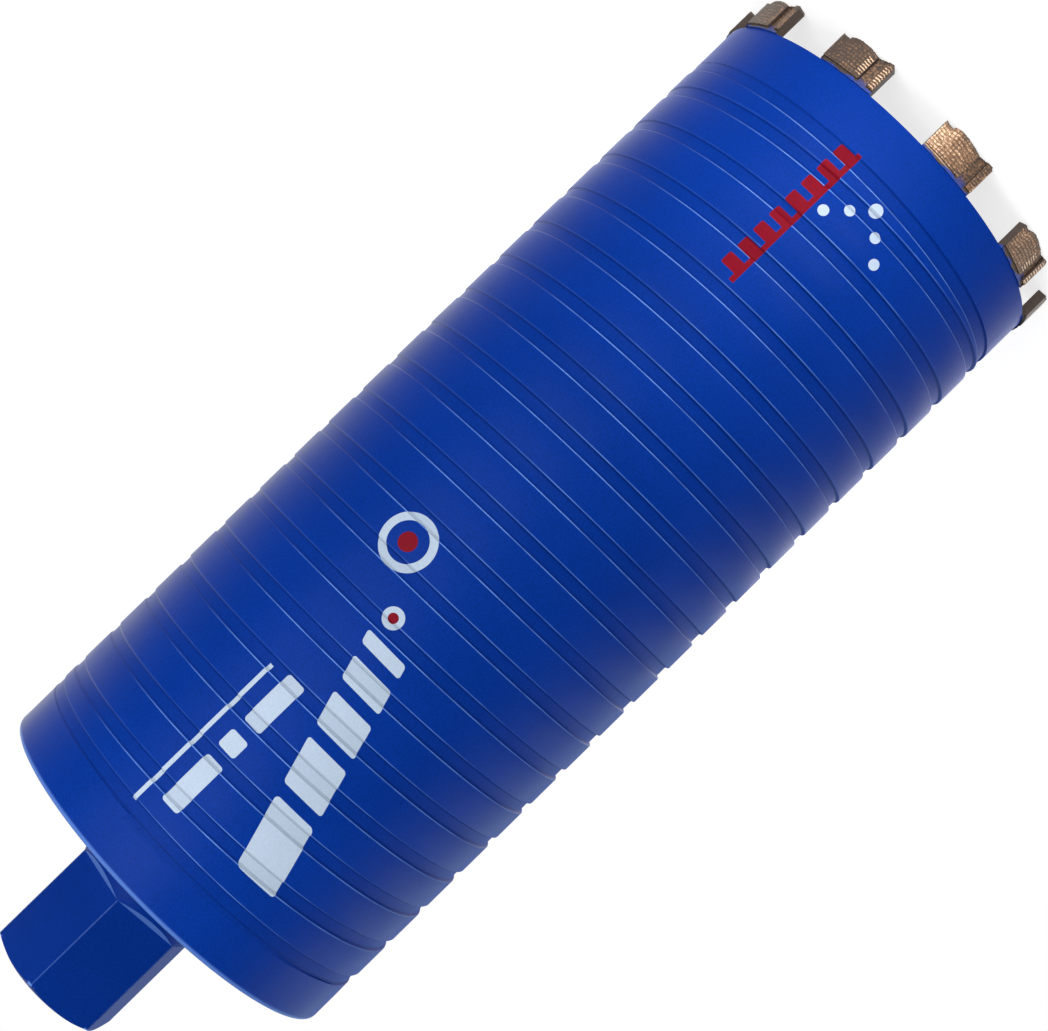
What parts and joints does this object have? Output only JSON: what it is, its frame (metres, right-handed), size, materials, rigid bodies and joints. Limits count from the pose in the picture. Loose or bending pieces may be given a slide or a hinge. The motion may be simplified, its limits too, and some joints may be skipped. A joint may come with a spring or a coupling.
{
  "type": "diamond core bit",
  "caption": "Thin-walled core drill: grooved blue tube with sintered cutting segments on one end and a hexagonal hub with a female thread on the other.",
  "frame": {"origin": "on the axis, at the height of the crests of the cutting segments, which the bit stands on", "axes": "+Z along the axis from the cutting end to the hub's mouth; +Y away from the side that the picture shows"},
  "size_m": [0.132, 0.1318, 0.373],
  "materials": {
    "blue_paint": "satin",
    "sintered_metal": "matte"
  },
  "bodies": {
    "root": {"tube": "blue_paint", "end_plate": "blue_paint", "hub": "blue_paint", "segment_01": "sintered_metal", "segment_02": "sintered_metal", "segment_03": "sintered_metal", "segment_04": "sintered_metal", "segment_05": "sintered_metal", "segment_06": "sintered_metal", "segment_07": "sintered_metal", "segment_08": "sintered_metal", "segment_09": "sintered_metal", "segment_10": "sintered_metal"}
  },
  "joints": []
}
